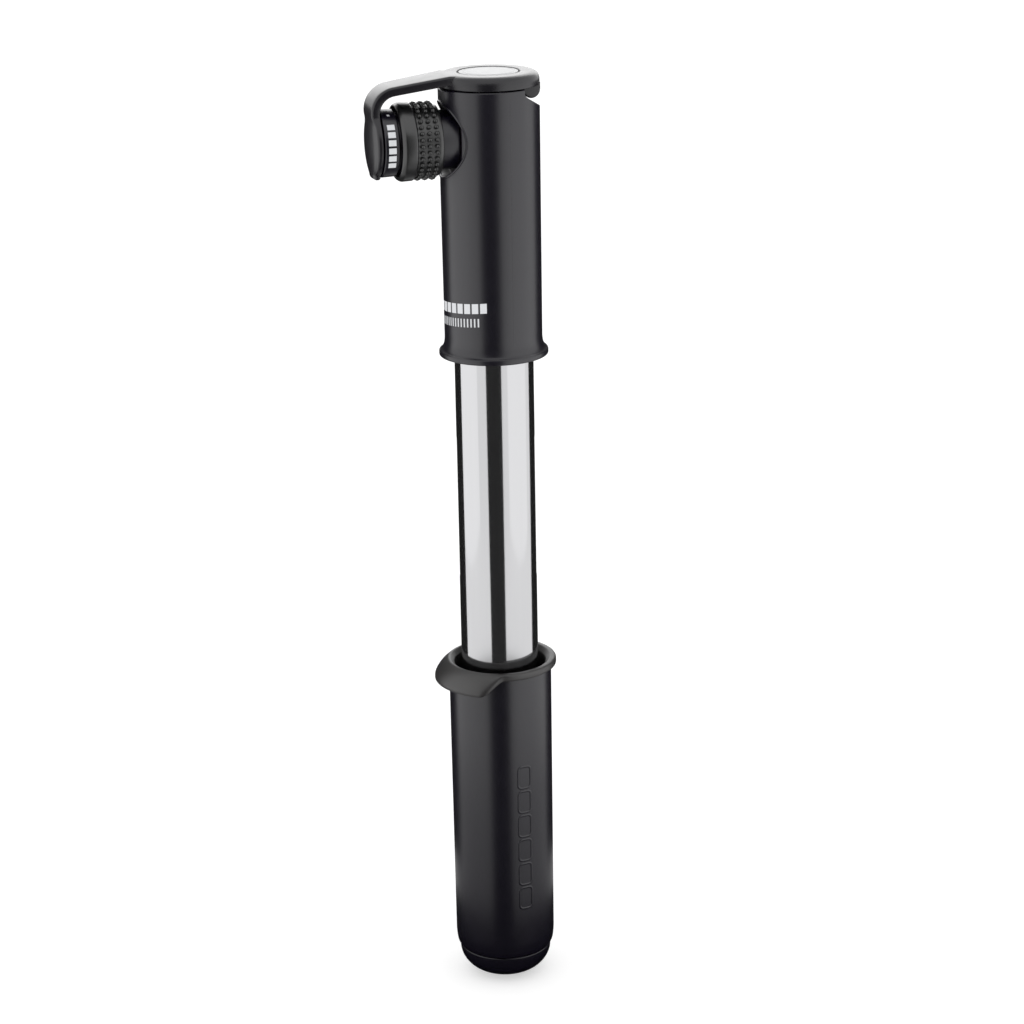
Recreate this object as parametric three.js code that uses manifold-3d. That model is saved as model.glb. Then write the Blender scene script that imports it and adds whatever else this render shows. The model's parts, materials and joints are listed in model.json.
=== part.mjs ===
// Bicycle mini pump, drawn out to its full stroke and standing on its end cap.
// Millimetres, +Z up the pump's axis, the valve connector points along -X.
// The handle slides over the aluminium barrel, which is fixed in the head.
import * as THREE from 'three';
import Module from 'manifold-3d';
import { mergeVertices } from 'three/addons/utils/BufferGeometryUtils.js';

const wasm = await Module();
wasm.setup();

// ---- driving dimensions ----
const STROKE = 91; // travel of the handle along the barrel
const HANDLE_LENGTH = 100; // end cap to the top of the collar
const HEAD_LENGTH = 80; // flange to the top of the dust cover
const TUBE_RADIUS = 11.2; // outside of the barrel
const TUBE_WALL = 1.0;
const HEAD_RADIUS_LOW = 13.8; // the moulding has a slight draft
const HEAD_RADIUS_HIGH = 14.05;
const HANDLE_RADIUS_LOW = 14.65;
const HANDLE_RADIUS_HIGH = 14.95;
const HANDLE_BORE = 13.2;
const ROD_RADIUS = 4.0;
const VALVE_BELOW_SEAM = 14.4; // valve axis under the joint of head and cover
const COVER_THICKNESS = 3.7; // lid of the dust cover
const GAP = 0.3; // between neighbouring pieces
const SLIP = 0.15; // between a rod and its guide
const ROUND = 28; // facets of a turned piece
const ROUND_LARGE = 44;

// ---- sizes that follow ----
const FLANGE_Z = HANDLE_LENGTH + STROKE + GAP;
const TOP_Z = HANDLE_LENGTH + STROKE + HEAD_LENGTH;
const COVER_Z = TOP_Z - COVER_THICKNESS;
const HEAD_TOP_Z = COVER_Z - GAP;
const VALVE_Z = HEAD_TOP_Z - VALVE_BELOW_SEAM + GAP;
const TUBE_BORE = TUBE_RADIUS - TUBE_WALL;
const TUBE_BOTTOM_Z = HANDLE_LENGTH - 2.5;
const TUBE_SOCKET_TOP_Z = FLANGE_Z + 25; // shoulder that the barrel seats on
const TUBE_TOP_Z = TUBE_SOCKET_TOP_Z - 0.8;
const CHAMBER_RADIUS = 8.6; // bore of the head above the barrel
const CHAMBER_TOP_Z = VALVE_Z + 4.2;
const CAP_FLOOR_Z = 4.5;
const CAP_SHOULDER_Z = 8.2;
const PISTON_Z = TUBE_BOTTOM_Z + 13;
const PISTON_HEIGHT = 9.5;

// ---- geometry helpers ----

// One closed body with shared corners and outward faces.
function closed(geometry) {
  const bare = geometry.clone();
  bare.deleteAttribute('normal');
  bare.deleteAttribute('uv');
  const merged = mergeVertices(bare, 1e-4);
  const position = merged.getAttribute('position');
  const faces = [];
  let volume = 0;
  const [a, b, c] = [new THREE.Vector3(), new THREE.Vector3(), new THREE.Vector3()];
  for (let i = 0; i < merged.index.count; i += 3) {
    const corners = [0, 1, 2].map((k) => merged.index.getX(i + k));
    if (new Set(corners).size < 3) continue;
    faces.push(corners);
    [a, b, c].forEach((point, k) => point.fromBufferAttribute(position, corners[k]));
    volume += a.dot(b.cross(c));
  }
  const outward = volume > 0 ? faces : faces.map(([p, q, r]) => [p, r, q]);
  merged.setIndex(outward.flat());
  return merged;
}

function toSolid(geometry) {
  const vertProperties = Float32Array.from(geometry.getAttribute('position').array);
  const triVerts = Uint32Array.from(geometry.getIndex().array);
  return new wasm.Manifold(new wasm.Mesh({ numProp: 3, vertProperties, triVerts }));
}

function toGeometry(solid) {
  const mesh = solid.getMesh();
  const geometry = new THREE.BufferGeometry();
  geometry.setAttribute('position', new THREE.BufferAttribute(mesh.vertProperties, 3));
  geometry.setIndex(new THREE.BufferAttribute(mesh.triVerts, 1));
  return geometry;
}

function join(...pieces) {
  return toGeometry(pieces.map(toSolid).reduce((whole, piece) => whole.add(piece)));
}

function cut(body, ...tools) {
  return toGeometry(tools.map(toSolid).reduce((whole, tool) => whole.subtract(tool), toSolid(body)));
}

function common(first, second) {
  return toGeometry(toSolid(first).intersect(toSolid(second)));
}

// A profile of [radius, height] pairs turned about +Z.
function turned(profile, facets = ROUND) {
  const points = profile.map(([radius, height]) => new THREE.Vector2(radius, height));
  return closed(new THREE.LatheGeometry(points, facets).rotateX(Math.PI / 2));
}

// A ring or tube: the section between two radii and two heights, closed on itself.
function ring(inner, outer, low, high, facets = ROUND) {
  return turned([[inner, low], [outer, low], [outer, high], [inner, high], [inner, low]], facets);
}

function disc(radius, low, high, facets = ROUND) {
  return turned([[0, low], [radius, low], [radius, high], [0, high]], facets);
}

function block(low, high) {
  const size = high.map((value, axis) => value - low[axis]);
  const middle = high.map((value, axis) => (value + low[axis]) / 2);
  return closed(new THREE.BoxGeometry(...size).translate(...middle));
}

// An outline in the XZ plane, given its width across the pump.
function sideExtrusion(shape, width) {
  const settings = { depth: width, bevelEnabled: false, curveSegments: 10 };
  return closed(new THREE.ExtrudeGeometry(shape, settings).rotateX(Math.PI / 2).translate(0, width / 2, 0));
}

// A cylinder across the pump, at a point of the XZ plane.
function crossCylinder(radius, x, z, from, to) {
  return disc(radius, from, to, 24).rotateX(-Math.PI / 2).translate(x, 0, z);
}

// A round seal of circular section.
function sealRing(radius, section, height) {
  return closed(new THREE.TorusGeometry(radius, section, 6, ROUND).translate(0, 0, height));
}

function polygon(points) {
  return new THREE.Shape(points.map(([x, y]) => new THREE.Vector2(x, y)));
}

// ---- materials ----
function finish(color, roughness, metalness = 0) {
  return new THREE.MeshStandardMaterial({ color, roughness, metalness });
}
const mouldedBlack = finish(0x1d1d1f, 0.5);
const coverBlack = finish(0x222224, 0.6);
const polishedAluminium = finish(0xdcdde0, 0.12, 1);
const satinAluminium = finish(0xb9babd, 0.35, 1);
const anodisedBlack = finish(0x141416, 0.3, 0.6);
const steel = finish(0x9b9ca0, 0.3, 1);
const rubber = finish(0x101011, 0.8);
const nylon = finish(0xd9d6cc, 0.6);

function piece(name, geometry, material) {
  const mesh = new THREE.Mesh(geometry, material);
  mesh.name = name;
  return mesh;
}

// ---- handle ----
const SLEEVE_BOTTOM_Z = 8.9;
const SLEEVE_TOP_Z = HANDLE_LENGTH - 2.4;
const COLLAR_SEAT_Z = 91.5; // counterbore of the sleeve that takes the collar's skirt
const COLLAR_SEAT_RADIUS = 14.15;

function handleSleeve() {
  return turned([
    [HANDLE_BORE, SLEEVE_BOTTOM_Z], [14.1, SLEEVE_BOTTOM_Z], [14.5, SLEEVE_BOTTOM_Z + 0.4],
    [HANDLE_RADIUS_LOW, SLEEVE_BOTTOM_Z + 1.2], [HANDLE_RADIUS_HIGH, SLEEVE_TOP_Z],
    [COLLAR_SEAT_RADIUS, SLEEVE_TOP_Z], [COLLAR_SEAT_RADIUS, COLLAR_SEAT_Z],
    [HANDLE_BORE, COLLAR_SEAT_Z], [HANDLE_BORE, SLEEVE_BOTTOM_Z],
  ], ROUND_LARGE);
}

const COLLAR_HOLE = 13.3;
const COLLAR_RADIUS = 16.45;
const COLLAR_PLATE = 2.1; // thickness of its flat ring
const LOBE_REACH = 2.7; // how far the thumb lobe stands out past the ring
const LOBE_DROP = 4.4; // and how far it slopes down
const LOBE_HALF_ANGLE = THREE.MathUtils.degToRad(80);
const LOBE_RAMP = 0.3; // share of that angle in which it rises at each end
const LOBE_CURL = 1.5; // the slope steepens towards the edge by this power

// A plain collar whose plate is drawn out and down into a wide lobe on the valve side.
function handleCollar() {
  const plateZ = HANDLE_LENGTH - COLLAR_PLATE;
  const skirtZ = COLLAR_SEAT_Z + GAP;
  const skirtRadius = COLLAR_SEAT_RADIUS - GAP;
  const chamferRadius = 14.7;
  const chamferDepth = 1.2;
  const edge = 0.5;
  const facets = 56;
  const plain = turned([
    [COLLAR_HOLE, skirtZ], [skirtRadius, skirtZ], [skirtRadius, plateZ], [chamferRadius + 0.2, plateZ],
    [COLLAR_RADIUS - edge, plateZ], [COLLAR_RADIUS, plateZ + edge], [COLLAR_RADIUS, HANDLE_LENGTH - edge],
    [COLLAR_RADIUS - edge, HANDLE_LENGTH], [chamferRadius + 0.6, HANDLE_LENGTH],
    [chamferRadius, HANDLE_LENGTH], [COLLAR_HOLE, HANDLE_LENGTH - chamferDepth], [COLLAR_HOLE, skirtZ],
  ], facets);
  const position = plain.getAttribute('position');
  for (let i = 0; i < position.count; i += 1) {
    const [x, y, z] = [position.getX(i), position.getY(i), position.getZ(i)];
    const radius = Math.hypot(x, y);
    const fromValveSide = Math.abs(Math.atan2(y, -x)) / LOBE_HALF_ANGLE;
    const lobe = THREE.MathUtils.smoothstep(1 - fromValveSide, 0, LOBE_RAMP);
    const outward = THREE.MathUtils.clamp((radius - chamferRadius) / (COLLAR_RADIUS - chamferRadius), 0, 1);
    const grown = (radius + LOBE_REACH * lobe * outward) / radius;
    position.setXYZ(i, x * grown, y * grown, z - LOBE_DROP * lobe * outward ** LOBE_CURL);
  }
  return plain;
}

const ROD_SPIGOT_RADIUS = 3.0;
const ROD_SPIGOT_Z = 1.8;
const THREAD_RADIUS = 2.3; // tapped hole of the rod, and the piston's hole over it
const FINE = 32; // facets of a small turned piece

// A cup with a rounded outside, a flat foot and a spigot that goes up into the sleeve.
function endCap() {
  const footRadius = 4;
  const bodyRadius = 13.5;
  const roundingHeight = CAP_SHOULDER_Z - 0.2;
  const spigotBore = 11.8;
  const spigotTopZ = 16;
  const steps = 8;
  const rounding = [];
  for (let step = 0; step <= steps; step += 1) {
    const angle = (step / steps) * (Math.PI / 2);
    rounding.push([
      footRadius + (bodyRadius - footRadius) * Math.sin(angle),
      roundingHeight * (1 - Math.cos(angle)),
    ]);
  }
  return turned([
    [0, 0], ...rounding, [bodyRadius, CAP_SHOULDER_Z], [HANDLE_BORE - GAP, CAP_SHOULDER_Z],
    [HANDLE_BORE - GAP, spigotTopZ], [spigotBore, spigotTopZ], [spigotBore, CAP_FLOOR_Z],
    [ROD_SPIGOT_RADIUS + GAP, CAP_FLOOR_Z],
    [ROD_SPIGOT_RADIUS + GAP, ROD_SPIGOT_Z - GAP], [0, ROD_SPIGOT_Z - GAP],
  ], ROUND_LARGE);
}

function pistonRod() {
  const shoulderZ = CAP_FLOOR_Z + GAP;
  const rodTopZ = PISTON_Z - GAP;
  const threadDepth = 11;
  return turned([
    [0, ROD_SPIGOT_Z], [ROD_SPIGOT_RADIUS, ROD_SPIGOT_Z], [ROD_SPIGOT_RADIUS, shoulderZ],
    [ROD_RADIUS, shoulderZ], [ROD_RADIUS, rodTopZ], [THREAD_RADIUS, rodTopZ],
    [THREAD_RADIUS, rodTopZ - threadDepth], [0, rodTopZ - threadDepth],
  ], FINE);
}

function bumperWasher() {
  const washerRadius = 11;
  const thickness = 1.4;
  const low = CAP_FLOOR_Z + GAP;
  return ring(ROD_RADIUS + GAP, washerRadius, low, low + thickness);
}

const SEAL_GROOVE_RADIUS = 7.8;
const SEAL_GROOVE_Z = PISTON_Z + 3.4;
const SEAL_GROOVE_WIDTH = 2.4;

function piston() {
  const outer = TUBE_BORE - GAP;
  return turned([
    [THREAD_RADIUS, PISTON_Z], [outer, PISTON_Z], [outer, SEAL_GROOVE_Z], [SEAL_GROOVE_RADIUS, SEAL_GROOVE_Z],
    [SEAL_GROOVE_RADIUS, SEAL_GROOVE_Z + SEAL_GROOVE_WIDTH], [outer, SEAL_GROOVE_Z + SEAL_GROOVE_WIDTH],
    [outer, PISTON_Z + PISTON_HEIGHT], [THREAD_RADIUS, PISTON_Z + PISTON_HEIGHT],
    [THREAD_RADIUS, PISTON_Z],
  ]);
}

function pistonSeal() {
  const section = 1.05;
  const radius = TUBE_BORE - 0.1 - section;
  return sealRing(radius, section, SEAL_GROOVE_Z + SEAL_GROOVE_WIDTH / 2);
}

function pistonScrew() {
  const headZ = PISTON_Z + PISTON_HEIGHT + GAP;
  const [shank, length, head, headHeight, socket, socketFloor] = [2, 18, 4, 2, 1.5, 0.8];
  return turned([
    [0, headZ - length], [shank, headZ - length], [shank, headZ], [head, headZ],
    [head, headZ + headHeight], [socket, headZ + headHeight], [socket, headZ + socketFloor],
    [0, headZ + socketFloor],
  ], FINE);
}

// ---- barrel and head ----
const BUSH_Z = TUBE_BOTTOM_Z + 0.4;
const BUSH_LENGTH = 10;

function rodBush() {
  const plug = TUBE_BORE - GAP;
  return ring(ROD_RADIUS + SLIP, plug, BUSH_Z, BUSH_Z + BUSH_LENGTH);
}

function reboundWasher() {
  const washerRadius = 8;
  const thickness = 1.5;
  const low = BUSH_Z + BUSH_LENGTH + GAP;
  return ring(ROD_RADIUS + GAP, washerRadius, low, low + thickness);
}

function cylinderTube() {
  return ring(TUBE_BORE, TUBE_RADIUS, TUBE_BOTTOM_Z, TUBE_TOP_Z, ROUND_LARGE);
}

const TUBE_SEAL_Z = TUBE_TOP_Z - 8;
const PORT_RADIUS = 10.4; // round pocket that the valve stands in
const PORT_FLOOR = 10.3; // distance of its floor from the pump's axis
const SPIGOT_RADIUS = 4.1;
const HINGE_X = 10.5;
const HINGE_Z = HEAD_TOP_Z - 0.8;
const PIN_RADIUS = 0.9;
const LUG_HALF_WIDTH = 2.8;

// Outside of the head: flared flange, drafted barrel, small round at the top.
function headBlank() {
  const socket = TUBE_RADIUS + GAP;
  const flange = 15.45;
  const edge = 0.4;
  const grooveRadius = 12.6;
  const grooveHalf = 0.9;
  return turned([
    [socket + 0.5, FLANGE_Z], [flange - edge, FLANGE_Z], [flange, FLANGE_Z + edge],
    [flange, FLANGE_Z + 1.1], [flange - 0.35, FLANGE_Z + 1.5], [flange - 0.95, FLANGE_Z + 2],
    [flange - 1.35, FLANGE_Z + 3], [HEAD_RADIUS_LOW, FLANGE_Z + 4.8],
    [HEAD_RADIUS_HIGH, HEAD_TOP_Z - edge], [HEAD_RADIUS_HIGH - edge, HEAD_TOP_Z], [0, HEAD_TOP_Z],
    [0, CHAMBER_TOP_Z], [CHAMBER_RADIUS, CHAMBER_TOP_Z], [CHAMBER_RADIUS, TUBE_SOCKET_TOP_Z],
    [socket, TUBE_SOCKET_TOP_Z], [socket, TUBE_SEAL_Z + grooveHalf],
    [grooveRadius, TUBE_SEAL_Z + grooveHalf], [grooveRadius, TUBE_SEAL_Z - grooveHalf],
    [socket, TUBE_SEAL_Z - grooveHalf], [socket, FLANGE_Z + 0.5], [socket + 0.5, FLANGE_Z],
  ], ROUND_LARGE);
}

// Turns a piece made along +Z so that it runs out along the valve axis.
function alongValve(geometry) {
  return geometry.rotateY(-Math.PI / 2).translate(0, 0, VALVE_Z);
}

function headHousing() {
  const pocket = alongValve(disc(PORT_RADIUS, PORT_FLOOR, 16, ROUND));
  const passage = alongValve(disc(SPIGOT_RADIUS + GAP, CHAMBER_RADIUS - 1.5, PORT_FLOOR + 1, FINE));
  const notchX = 7.0;
  const notch = sideExtrusion(polygon([
    [notchX, HEAD_TOP_Z + 1], [notchX, HEAD_TOP_Z - 1.8], [14.6, HEAD_TOP_Z - 6.4],
    [17, HEAD_TOP_Z - 6.4], [17, HEAD_TOP_Z + 1],
  ]), 32);
  const lugRadius = 2.2;
  const lugRound = crossCylinder(lugRadius, HINGE_X, HINGE_Z, -LUG_HALF_WIDTH, LUG_HALF_WIDTH);
  const lugArm = block(
    [notchX - 1, -LUG_HALF_WIDTH, HINGE_Z - lugRadius + 0.1],
    [HINGE_X, LUG_HALF_WIDTH, HEAD_TOP_Z - 0.1],
  );
  const pinHole = crossCylinder(PIN_RADIUS + SLIP, HINGE_X, HINGE_Z, -8, 8);
  return cut(join(cut(headBlank(), pocket, passage, notch), lugRound, lugArm), pinHole);
}

function hingePin() {
  const halfLength = 6.3;
  return crossCylinder(PIN_RADIUS, HINGE_X, HINGE_Z, -halfLength, halfLength);
}

function tubeSeal() {
  return sealRing(TUBE_RADIUS + 0.75, 0.55, TUBE_SEAL_Z);
}

function tubeGasket() {
  return ring(8.8, TUBE_RADIUS, TUBE_TOP_Z + 0.2, TUBE_SOCKET_TOP_Z - 0.2);
}

// ---- check valve in the head ----
const BLOCK_Z = TUBE_SOCKET_TOP_Z + GAP;
const CHECK_FLOOR_Z = BLOCK_Z + 5.5;
const CHECK_TOP_Z = CHECK_FLOOR_Z + 16;
const CHECK_RADIUS = 4.2;
const POPPET_Z = CHECK_FLOOR_Z + 1.6;
const SPRING_Z = POPPET_Z + 2.0;

function valveBlock() {
  const outer = CHAMBER_RADIUS - GAP;
  const body = turned([
    [2.5, BLOCK_Z], [outer, BLOCK_Z], [outer, CHAMBER_TOP_Z - GAP], [0, CHAMBER_TOP_Z - GAP],
    [0, VALVE_Z], [2, VALVE_Z], [2, CHECK_TOP_Z], [CHECK_RADIUS, CHECK_TOP_Z],
    [CHECK_RADIUS, CHECK_FLOOR_Z], [2.5, CHECK_FLOOR_Z], [2.5, BLOCK_Z],
  ]);
  const sidePort = alongValve(disc(SPIGOT_RADIUS + GAP, 2.6, 12, FINE));
  const sideWay = alongValve(disc(1.8, 0, 3, 24));
  return cut(body, sidePort, sideWay);
}

function checkSeat() {
  const hole = 2.6;
  return ring(hole, CHECK_RADIUS - SLIP, CHECK_FLOOR_Z + 0.2, CHECK_FLOOR_Z + 1.3, FINE);
}

function checkPoppet() {
  const [disk, stem, stemHeight] = [3.4, 1.4, 3];
  return turned([[0, POPPET_Z], [disk, POPPET_Z], [disk, SPRING_Z - GAP], [stem, SPRING_Z - GAP],
    [stem, SPRING_Z + stemHeight], [0, SPRING_Z + stemHeight]], FINE);
}

function checkSpring() {
  const turns = 5;
  const coilRadius = 2.6;
  const wireRadius = 0.35;
  const length = CHECK_TOP_Z - GAP - SPRING_Z;
  class Coil extends THREE.Curve {
    getPoint(t, target = new THREE.Vector3()) {
      const angle = t * turns * Math.PI * 2;
      return target.set(
        coilRadius * Math.cos(angle),
        coilRadius * Math.sin(angle),
        SPRING_Z + wireRadius + t * (length - 2 * wireRadius),
      );
    }
  }
  const wire = new THREE.Shape().absarc(0, 0, wireRadius, 0, Math.PI * 2, false);
  const settings = { steps: turns * 12, curveSegments: 5, bevelEnabled: false, extrudePath: new Coil() };
  return closed(new THREE.ExtrudeGeometry(wire, settings));
}

// ---- valve connector: heights in this group are distances from the pump's axis ----
const NECK_RADIUS = 8.2;
const NECK_END = 27.2;
const SLEEVE_BACK = 15.2;
const SLEEVE_FRONT = 26.9;
const LABEL_BACK = 27.5;
const LABEL_FRONT = 31.5;
const LABEL_RADIUS = 9.4;
const SLEEVE_TRAVEL = 3.0;
const GASKET_BACK = 21.3;

function valveNeck() {
  return turned([
    [2, 5], [SPIGOT_RADIUS, 5], [SPIGOT_RADIUS, 6.4], [3.1, 6.4], [3.1, 7.8], [SPIGOT_RADIUS, 7.8],
    [SPIGOT_RADIUS, PORT_FLOOR + GAP], [NECK_RADIUS, PORT_FLOOR + GAP], [NECK_RADIUS, 19.4],
    [7.4, 19.4], [7.4, 20.6], [NECK_RADIUS, 20.6], [NECK_RADIUS, NECK_END], [6.6, NECK_END],
    [6.6, GASKET_BACK - GAP], [2, GASKET_BACK - GAP], [2, 5],
  ]);
}

function neckSeal() {
  return sealRing(3.75, 0.5, 7.1);
}

function sleeveRing() {
  return sealRing(7.95, 0.45, 20);
}

// Three low ribs carry the grip; the front is a plain band that runs out over the label ring.
function knurledSleeve() {
  const base = 10.3;
  const rib = 10.95;
  const ribs = [];
  for (const centre of [17.1, 19.15, 21.2]) {
    ribs.push([base, centre - 0.8], [rib, centre - 0.5], [rib, centre + 0.5], [base, centre + 0.8]);
  }
  const bore = NECK_RADIUS + GAP;
  return turned([
    [bore, SLEEVE_BACK], [9.9, SLEEVE_BACK], [base, SLEEVE_BACK + 0.5], ...ribs,
    [base, 22.4], [10.9, 22.7], [10.9, SLEEVE_FRONT - 0.8], [10.1, SLEEVE_FRONT],
    [LABEL_RADIUS + GAP, SLEEVE_FRONT], [LABEL_RADIUS + GAP, LABEL_BACK - SLEEVE_TRAVEL - 0.9],
    [bore, LABEL_BACK - SLEEVE_TRAVEL - 0.9], [bore, SLEEVE_BACK],
  ]);
}

function labelRing() {
  return turned([
    [5, 24.5], [6.3, 24.5], [6.3, LABEL_BACK], [LABEL_RADIUS, LABEL_BACK],
    [LABEL_RADIUS, LABEL_FRONT - 0.5], [LABEL_RADIUS - 0.5, LABEL_FRONT], [5.4, LABEL_FRONT],
    [5, LABEL_FRONT - 0.4], [5, 24.5],
  ]);
}

function valveGasket() {
  return ring(3.2, 6.3, GASKET_BACK, 24.2);
}

// ---- dust cover ----
const ARM_THICKNESS = 2.5;
const ARM_OUTER = 34.3; // distance of its drop from the pump's axis
const ARM_BEND = 7.35; // outer radius of the corner
const ARM_SLOPE = THREE.MathUtils.degToRad(8);
const LID_RIM = 12.4;
const LEAF_RADIUS = 8.9;
const LEAF_TAB = 9.7; // the pull tab's reach under the valve axis
const EAR_RADIUS = 2.45;
const BADGE_RADIUS = 8.3;

// The strap seen from the side: out from the lid, round a corner and down over the valve.
function armOutline() {
  const bendX = ARM_BEND - ARM_OUTER;
  const lineZ = TOP_Z - (-bendX - LID_RIM) * Math.tan(ARM_SLOPE);
  const bendZ = lineZ - ARM_BEND / Math.cos(ARM_SLOPE);
  const start = Math.PI / 2 + ARM_SLOPE;
  const inner = ARM_BEND - ARM_THICKNESS;
  const bottom = VALVE_Z - LEAF_TAB;
  const shape = new THREE.Shape();
  shape.moveTo(-9.2, TOP_Z);
  shape.lineTo(-LID_RIM, TOP_Z);
  shape.absarc(bendX, bendZ, ARM_BEND, start, Math.PI, false);
  shape.lineTo(-ARM_OUTER, bottom);
  shape.lineTo(-ARM_OUTER + ARM_THICKNESS, bottom);
  shape.absarc(bendX, bendZ, inner, Math.PI, start, true);
  shape.lineTo(-LID_RIM, TOP_Z - ARM_THICKNESS / Math.cos(ARM_SLOPE));
  shape.lineTo(-9.2, TOP_Z - ARM_THICKNESS);
  return shape;
}

// The strap seen from above tapers; the leaf over the valve is round with a pull tab.
function armEnvelope() {
  const rootHalf = 6.8;
  const tipHalf = 5.2;
  const plan = polygon([
    [-9, -rootHalf], [-9, rootHalf], [-LID_RIM, rootHalf], [-36, tipHalf], [-36, -tipHalf],
    [-LID_RIM, -rootHalf],
  ]);
  const strap = closed(new THREE.ExtrudeGeometry(plan, { depth: TOP_Z - VALVE_Z + 1, bevelEnabled: false }));
  const leaf = alongValve(disc(LEAF_RADIUS, 31, 36, ROUND));
  const tab = block([-36, -3.4, VALVE_Z - LEAF_TAB - 1], [-31, 3.4, VALVE_Z]);
  return join(strap.translate(0, 0, VALVE_Z), leaf, tab);
}

function lid() {
  const badgeSeat = BADGE_RADIUS + 0.25;
  return turned([
    [0, COVER_Z], [14.05, COVER_Z], [14.0, COVER_Z + 1], [13.3, TOP_Z - 0.8], [LID_RIM, TOP_Z],
    [badgeSeat, TOP_Z], [badgeSeat, TOP_Z - 0.7], [0, TOP_Z - 0.7],
  ], ROUND_LARGE);
}

function ear(side) {
  const [from, to] = [side * 3.1, side * 6.5].sort((a, b) => a - b);
  const round = crossCylinder(EAR_RADIUS, HINGE_X, HINGE_Z, from, to);
  const web = block([HINGE_X - EAR_RADIUS, from, HINGE_Z], [HINGE_X + EAR_RADIUS, to, COVER_Z + 1]);
  return join(round, web);
}

function dustCover() {
  const arm = common(sideExtrusion(armOutline(), 24), armEnvelope());
  const lugSlot = block([7.6, -3.1, COVER_Z - 4], [16, 3.1, COVER_Z + 1.7]);
  const pinHole = crossCylinder(PIN_RADIUS + SLIP, HINGE_X, HINGE_Z, -8, 8);
  return cut(join(lid(), arm, ear(-1), ear(1)), lugSlot, pinHole);
}

function coverBadge() {
  return turned([[0, TOP_Z - 0.5], [BADGE_RADIUS, TOP_Z - 0.5], [BADGE_RADIUS, TOP_Z - 0.2],
    [BADGE_RADIUS - 0.2, TOP_Z - 0.05], [0, TOP_Z - 0.05]]);
}

// ---- assembly ----
const valveConnector = new THREE.Group();
valveConnector.position.set(0, 0, VALVE_Z);
valveConnector.rotation.y = -Math.PI / 2;
valveConnector.add(
  piece('valve_neck', valveNeck(), anodisedBlack),
  piece('neck_seal', neckSeal(), rubber),
  piece('sleeve_ring', sleeveRing(), rubber),
  piece('knurled_sleeve', knurledSleeve(), anodisedBlack),
  piece('label_ring', labelRing(), anodisedBlack),
  piece('valve_gasket', valveGasket(), rubber),
);

const handle = new THREE.Group();
handle.add(
  piece('handle_sleeve', handleSleeve(), mouldedBlack),
  piece('handle_collar', handleCollar(), mouldedBlack),
  piece('end_cap', endCap(), mouldedBlack),
  piece('bumper_washer', bumperWasher(), rubber),
  piece('piston_rod', pistonRod(), satinAluminium),
  piece('piston', piston(), nylon),
  piece('piston_seal', pistonSeal(), rubber),
  piece('piston_screw', pistonScrew(), steel),
);

const head = new THREE.Group();
head.add(
  piece('cylinder_tube', cylinderTube(), polishedAluminium),
  piece('rod_bush', rodBush(), nylon),
  piece('rebound_washer', reboundWasher(), rubber),
  piece('head_housing', headHousing(), mouldedBlack),
  piece('tube_seal', tubeSeal(), rubber),
  piece('tube_gasket', tubeGasket(), rubber),
  piece('valve_block', valveBlock(), nylon),
  piece('check_seat', checkSeat(), rubber),
  piece('check_poppet', checkPoppet(), nylon),
  piece('check_spring', checkSpring(), steel),
  piece('hinge_pin', hingePin(), steel),
  valveConnector,
);

const dustCoverGroup = new THREE.Group();
dustCoverGroup.add(
  piece('dust_cover', dustCover(), coverBlack),
  piece('cover_badge', coverBadge(), satinAluminium),
);

const pump = new THREE.Group();
pump.add(handle, head, dustCoverGroup);

export default pump;
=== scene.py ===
import json
import math

import bmesh
import bpy
from mathutils import Matrix, Quaternion, Vector


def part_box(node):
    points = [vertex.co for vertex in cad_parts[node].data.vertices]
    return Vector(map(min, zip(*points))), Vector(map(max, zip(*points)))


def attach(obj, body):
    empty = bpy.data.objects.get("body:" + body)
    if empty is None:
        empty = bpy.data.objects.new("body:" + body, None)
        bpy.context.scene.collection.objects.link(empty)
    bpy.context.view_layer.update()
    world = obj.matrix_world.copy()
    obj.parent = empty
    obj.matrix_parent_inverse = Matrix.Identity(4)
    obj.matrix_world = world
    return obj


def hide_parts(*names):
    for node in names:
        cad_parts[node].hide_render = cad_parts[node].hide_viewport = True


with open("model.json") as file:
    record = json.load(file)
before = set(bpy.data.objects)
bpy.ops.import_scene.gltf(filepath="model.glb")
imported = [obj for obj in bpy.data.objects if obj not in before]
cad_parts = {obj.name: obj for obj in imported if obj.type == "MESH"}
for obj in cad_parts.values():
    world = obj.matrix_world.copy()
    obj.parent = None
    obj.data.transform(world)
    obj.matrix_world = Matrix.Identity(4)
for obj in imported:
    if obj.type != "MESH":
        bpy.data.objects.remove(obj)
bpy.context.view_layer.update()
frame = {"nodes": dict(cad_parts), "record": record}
scene = bpy.context.scene
MM = 0.001

# ---------------------------------------------------------------------------
# Camera. It stands to the left of the pump's front and looks down on it, so
# the valve comes a little towards it and the top of the cover just shows.
# ---------------------------------------------------------------------------
CAMERA_AZIMUTH = math.radians(-15)
CAMERA_DISTANCE = 0.758
CAMERA_HEIGHT = 0.383
CAMERA_PITCH = math.radians(17.5)
CAMERA_ROLL = math.radians(-1.05)
CAMERA_SIDESTEP = 0.0043
CAMERA_LENS = 97

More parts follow.
